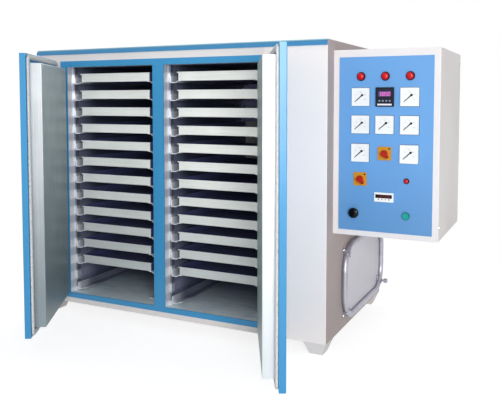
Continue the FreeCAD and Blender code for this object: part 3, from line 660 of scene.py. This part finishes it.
# The needle's heavy tail lies up and right of the dial's middle, its point down and left.
needles = bmesh.new()
tail = Vector((0.0066, 0.0072))
point = Vector((-0.0236, -0.0198))
tail_half, point_half = 0.0022, 0.0012
weight_radius = 0.0048
needle_lift = Vector((0, -0.0006, 0))
along = (point - tail).normalized()
across = Vector((-along.y, along.x))
for spot in meter_spots:
    blade = [tail + across * tail_half, tail - across * tail_half,
             point - across * point_half, point + across * point_half]
    raised(needles, [tuple(p) for p in blade], spot + needle_lift, 0.0006)
    raised(needles, disc(tail.x, tail.y, weight_radius), spot, 0.0016)
keep("meter_needles", needles, black_print, "cabinet")

number_curve = bpy.data.curves.new("dial_number", "FONT")
number_curve.align_x = "CENTER"
number_curve.align_y = "CENTER"
number_curve.size = 0.0048
number_curve.extrude = 0.0001
number_maker = bpy.data.objects.new("dial_number", number_curve)
bpy.context.scene.collection.objects.link(number_maker)
numbers = bmesh.new()

# Five numbers, 0 to 200, lie 60 degrees apart on a circle and start at the lower left.
number_circle = 0.0182
for step in range(5):
    number_curve.body = str(step * 50)
    bpy.context.view_layer.update()
    graph = bpy.context.evaluated_depsgraph_get()
    flat = bpy.data.meshes.new_from_object(number_maker.evaluated_get(graph), depsgraph=graph)
    lean = math.radians(210 - step * 60)
    for spot in meter_spots:
        copy = flat.copy()
        shift = Vector((number_circle * math.cos(lean), -0.0002, number_circle * math.sin(lean)))
        copy.transform(Matrix.Translation(spot + shift) @ stand_up)
        numbers.from_mesh(copy)
        bpy.data.meshes.remove(copy)
    bpy.data.meshes.remove(flat)
bpy.data.objects.remove(number_maker)
keep("dial_numbers", numbers, grey_print, "cabinet")


# Temperature controller. Dark navy ABS housing with a smoked window, glowing magenta figures,
# four small keys and a pale strip along its foot.
navy_abs = plastic("navy_abs", "0E1020", 0.42, 0.00004, 0.3)
dress(navy_abs, "temperature_controller")


def glowing(name, code, strength):
    """Lit display segment."""
    made = bpy.data.materials.new(name)
    made.use_nodes = True
    tree = made.node_tree
    tree.nodes.clear()
    place = add(tree, "ShaderNodeTexCoord").outputs["Object"]
    flicker = add(tree, "ShaderNodeTexNoise", {"Vector": place, "Scale": 300.0}).outputs["Fac"]
    level = add(tree, "ShaderNodeMapRange", {0: flicker, 3: strength * 0.8, 4: strength * 1.2}).outputs[0]
    shader = add(tree, "ShaderNodeBsdfPrincipled",
                 {"Base Color": colour(code), "Roughness": 0.5, "Emission Color": colour(code),
                  "Emission Strength": level})
    add(tree, "ShaderNodeOutputMaterial", {0: shader.outputs[0]})
    return made


segments_lit = {"0": "abcdef", "1": "bc", "2": "abged", "3": "abgcd", "4": "fgbc", "5": "afgcd",
                "6": "afgedc", "7": "abc", "8": "abcdefg", "9": "abcdfg"}


def figures(solid, text, spot, width, height, pitch, stroke):
    """Seven-segment figures centred on a spot."""
    half_w = width / 2
    half_h = height / 2
    bars = {"a": (0, half_h, 1), "g": (0, 0, 1), "d": (0, -half_h, 1),
            "f": (-half_w, half_h / 2, 0), "b": (half_w, half_h / 2, 0),
            "e": (-half_w, -half_h / 2, 0), "c": (half_w, -half_h / 2, 0)}
    for i, figure in enumerate(text):
        middle = spot + Vector(((i - (len(text) - 1) / 2) * pitch, 0, 0))
        for name in segments_lit[figure]:
            x, z, level = bars[name]
            w = (width if level else stroke) / 2
            h = (stroke if level else half_h) / 2
            raised(solid, [(x - w, z - h), (x + w, z - h), (x + w, z + h), (x - w, z + h)], middle, 0.0004)


controller_spot = on_plate(0, top_row, 10)
window_spot = controller_spot + Vector((0, 0.0015, 0.015))
smoked_screen = plastic("smoked_screen", "242038", 0.3, 0.00001, 0.3)
screen = bmesh.new()
panel_block(screen, window_spot, 0.0555, 0.0295, 0.0004)
keep("controller_screen", screen, smoked_screen, "cabinet")
glass_spot = controller_spot + Vector((-0.001, 0.0011, 0.0118))
violet_filter = plastic("violet_filter", "525880", 0.3, 0.00001, 0.3)
glass = bmesh.new()
panel_block(glass, glass_spot, 0.047, 0.019, 0.0003)
keep("controller_glass", glass, violet_filter, "cabinet")
lit = bmesh.new()
figures(lit, "0850", glass_spot + Vector((0.003, -0.0003, 0)), 0.0072, 0.0135, 0.0105, 0.0024)
keep("controller_figures", lit, glowing("magenta_display", "D060B4", 0.45), "cabinet")
keys = bmesh.new()
for i in range(4):
    panel_block(keys, controller_spot + Vector((-0.0205 + i * 0.0137, 0, -0.0155)), 0.0062, 0.0062, 0.0012)
keep("controller_keys", keys, plastic("grey_keys", "8A90AE", 0.5, 0.00003), "cabinet")
strip = bmesh.new()
panel_block(strip, controller_spot + Vector((0, 0, -0.030)), 0.057, 0.0065, 0.0006)
keep("controller_strip", strip, plastic("pale_strip", "E6E6EC", 0.5, 0.00002), "cabinet")


# Digital timer. White ABS bar with a white front label, a black window with dim red figures, and
# four tiny buttons under it, the outer ones black.
timer_spot = on_plate(0, 142, 6)
label = bmesh.new()
panel_block(label, timer_spot, 0.068, 0.022, 0.0004)
keep("timer_label", label, white_abs, "cabinet")
window_spot = timer_spot + Vector((0, -0.0004, 0.0038))
window = bmesh.new()
panel_block(window, window_spot, 0.066, 0.0142, 0.0008)
keep("timer_window", window, plastic("black_window", "0B0608", 0.3, 0.00001, 0.2), "cabinet")
lit = bmesh.new()
figures(lit, "120000", window_spot + Vector((0, -0.0008, 0)), 0.0046, 0.0078, 0.0085, 0.001)
keep("timer_figures", lit, glowing("dim_red_display", "7A1820", 0.35), "cabinet")
for name, offsets, finish in (("timer_black_keys", (-0.020, 0.0216), black_print),
                              ("timer_grey_keys", (-0.0064, 0.0076), grey_print)):
    keys = bmesh.new()
    for x in offsets:
        panel_block(keys, timer_spot + Vector((x, -0.0004, -0.0080)), 0.0048, 0.0036, 0.001)
    keep(name, keys, finish, "cabinet")


# Indicator lamps. Domed lenses of clear red polycarbonate in dark plastic collars that stand 3 to
# 4 mm off the plate. The lens is glossy, with painted shade on its sides where it meets the collar.
def turned(solid, profile, spot, sides, finish=0):
    """Turn a profile of (radius, distance forward of the spot) about the axis that points forward.
    Where it ends off the axis the last ring is left open, against the next profile."""
    rings = []
    for radius, ahead in profile:
        around = 1 if radius == 0 else sides
        rings.append([solid.verts.new(spot + Vector((radius * math.cos(2 * math.pi * i / sides), -ahead,
                                                     radius * math.sin(2 * math.pi * i / sides))))
                      for i in range(around)])
    for back, front in zip(rings, rings[1:]):
        for i in range(sides):
            j = (i + 1) % sides
            corners = [back[i % len(back)], back[j % len(back)], front[j % len(front)], front[i % len(front)]]
            face = solid.faces.new(list(dict.fromkeys(corners)))
            face.smooth = True
            face.material_index = finish


# The lens sides are painted darker as shade.
red_lens = plastic("red_polycarbonate", "D0141A", 0.24, 0.00001, 0.3, [((0, 1, 0), -0.85, -0.3, "8C3038")])
lens_collar = plastic("dark_red_abs", "340610", 0.4, 0.00002, 0.15)
switch_row = 211
lamp_spots = [(on_plate(column, 623), 0.018, 0.004, 0.015, 0.012) for column in (-1, 0, 1)]
lamp_spots.append((on_plate(0.9, switch_row), 0.0115, 0.003, 0.0085, 0.006))
edge = 0.0008
lamps = bmesh.new()
for spot, collar, collar_height, lens, lens_height in lamp_spots:
    turned(lamps, [(0, 0), (collar, 0), (collar, collar_height - edge), (collar - edge, collar_height),
                   (lens + edge, collar_height), (lens, collar_height - edge), (0, collar_height - edge)],
           spot, 40, 1)
    straight = collar_height + lens_height * 0.3
    dome = [(lens * math.cos(math.radians(a)), straight + lens_height * 0.7 * math.sin(math.radians(a)))
            for a in range(0, 90, 15)]
    turned(lamps, [(0, collar_height - edge), (lens - 0.0001, collar_height - edge)] + dome
           + [(0, collar_height + lens_height)], spot, 40, 0)
red_lamps = keep("indicator_lamps", lamps, red_lens, "cabinet")
red_lamps.data.materials.append(lens_collar)
red_lamps.data.set_sharp_from_angle(angle=math.radians(35))
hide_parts("red_lamps")


# Rotary switches. Amber plates with a red teardrop knob that turns a quarter, a black inlay in
# its point, and a small padlock eye in the plate's upper right corner, whose hole is painted as a black disc
# of shade.
amber = plastic("amber_plastic", "CE9022", 0.35, 0.00003, 0.3)
dress(amber, "switch_plates")
knob_red = plastic("red_nylon", "B41C0C", 0.32, 0.00004, 0.3)
dress(knob_red, "upper_switch_knob", "lower_switch_knob")
switch_spots = [on_plate(0, low_row, 4), on_plate(-1, switch_row, 4)]
mark_depth = 0.0002
eye_shade_and_marks = bmesh.new()
for spot in switch_spots:
    # The black disc stands in for the shade in the padlock eye.
    raised(eye_shade_and_marks, disc(0, 0, 0.0036), spot + Vector((0.019, 0, 0.019)), mark_depth)
    for x, z in ((-0.022, 0.0), (0.0, -0.0225), (-0.019, -0.019)):
        panel_block(eye_shade_and_marks, spot + Vector((x, 0, z)), 0.0022, 0.0022, mark_depth)
keep("switch_plate_marks", eye_shade_and_marks, black_print, "cabinet")
knob_face = Vector((0, -0.0203, 0))
reach = 0.0205 * math.sqrt(0.5)
for body, spot in zip(("upper_switch", "lower_switch"), switch_spots):
    tip = bmesh.new()
    raised(tip, disc(reach, -reach, 0.0028), spot + knob_face, 0.0004)
    keep(body + "_knob_inlay", tip, black_print, body)


# Push buttons. A black mushroom head of satin phenolic and a flat green nylon one, both in turned
# collars that are plated a dark teal.
black_phenolic = plastic("black_phenolic", "050506", 0.24, 0.00001, 0.2)
mushroom_spot = on_plate(-1.22, 73)
mushroom = bmesh.new()
crown = [(0.021 * math.cos(math.radians(a)), 0.0195 + 0.008 * math.sin(math.radians(a)))
         for a in range(0, 90, 10)]
turned(mushroom, [(0, 0.0065), (0.010, 0.0065), (0.010, 0.0165), (0.0202, 0.0165), (0.021, 0.0173)]
       + crown + [(0, 0.0275)], mushroom_spot, 48)
black_head = keep("mushroom_button", mushroom, black_phenolic, "black_push")
black_head.data.set_sharp_from_angle(angle=math.radians(35))
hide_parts("black_button")
green_nylon = plastic("green_nylon", "0CA296", 0.32, 0.00002, 0.3)
dress(green_nylon, "green_button")
teal_plate = sheet_metal("dark_teal_plating", "2C8892", "1C626E", 0.3, 0.4, (300, 300, 300), 0.00003)
dress(teal_plate, "button_collars")


# Side access cover. A painted plate lies inside a closed loop of aluminium tube, which four bent
# straps hold to the wall. Tube and straps are satin drawn aluminium with a faint cloudy grain.
drawn_aluminium = sheet_metal("drawn_aluminium", "C0C0CA", "A2A2AE", 0.36, 0.8, (30, 30, 30), 0.00005)
dress(drawn_aluminium, "rim_saddles")
cover_enamel = enamel("pale_grey_enamel", "DDDBE3", "CECCD5", 0.4, 0.0001)
dress(cover_enamel, "cover_plate")

cover_front, cover_length = 195, 640
cover_bottom, cover_height = 83, 345
tube_radius = 13
tube_sizes = {"Loop length": (cover_length - 2 * tube_radius) / 1000,
              "Loop height": (cover_height - 2 * tube_radius) / 1000, "Corner radius": 0.110,
              "Tube radius": tube_radius / 1000, "Bend steps": 14, "Sides": 28}
tube_tree, size = geometry_tree("bent_tube", tube_sizes)
path = add(tube_tree, "GeometryNodeCurvePrimitiveQuadrilateral",
           {"Width": size["Loop length"], "Height": size["Loop height"]}).outputs[0]
path = add(tube_tree, "GeometryNodeFilletCurve", {"Curve": path, "Count": size["Bend steps"],
                                                  "Radius": size["Corner radius"]}, mode="POLY").outputs[0]
path = add(tube_tree, "GeometryNodeSetCurveNormal", {"Curve": path}, mode="Z_UP").outputs[0]
section = add(tube_tree, "GeometryNodeCurvePrimitiveCircle",
              {"Resolution": size["Sides"], "Radius": size["Tube radius"]}).outputs[0]
tube = add(tube_tree, "GeometryNodeCurveToMesh", {"Curve": path, "Profile Curve": section}).outputs[0]
tube = add(tube_tree, "GeometryNodeSetShadeSmooth", {"Geometry": tube}).outputs[0]
tube = add(tube_tree, "GeometryNodeRealizeInstances", {"Geometry": tube}).outputs[0]
tube = add(tube_tree, "GeometryNodeSetMaterial", {"Geometry": tube, "Material": drawn_aluminium}).outputs[0]
add(tube_tree, "NodeGroupOutput", {0: tube})
loop_middle = at(body_width + tube_radius, cover_front + cover_length / 2, cover_bottom + cover_height / 2)
on_wall = Matrix.Translation(loop_middle) @ Matrix.Rotation(math.pi / 2, 4, "Z") @ stand_up
rim = grow("cover_rim_tube", tube_tree, bpy.data.meshes.new("tube_carrier"), tube_sizes, on_wall)
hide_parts("cover_rim")
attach(rim, "cabinet")


# The looks keep the object's size.
bpy.context.scene.view_settings.view_transform = "Standard"
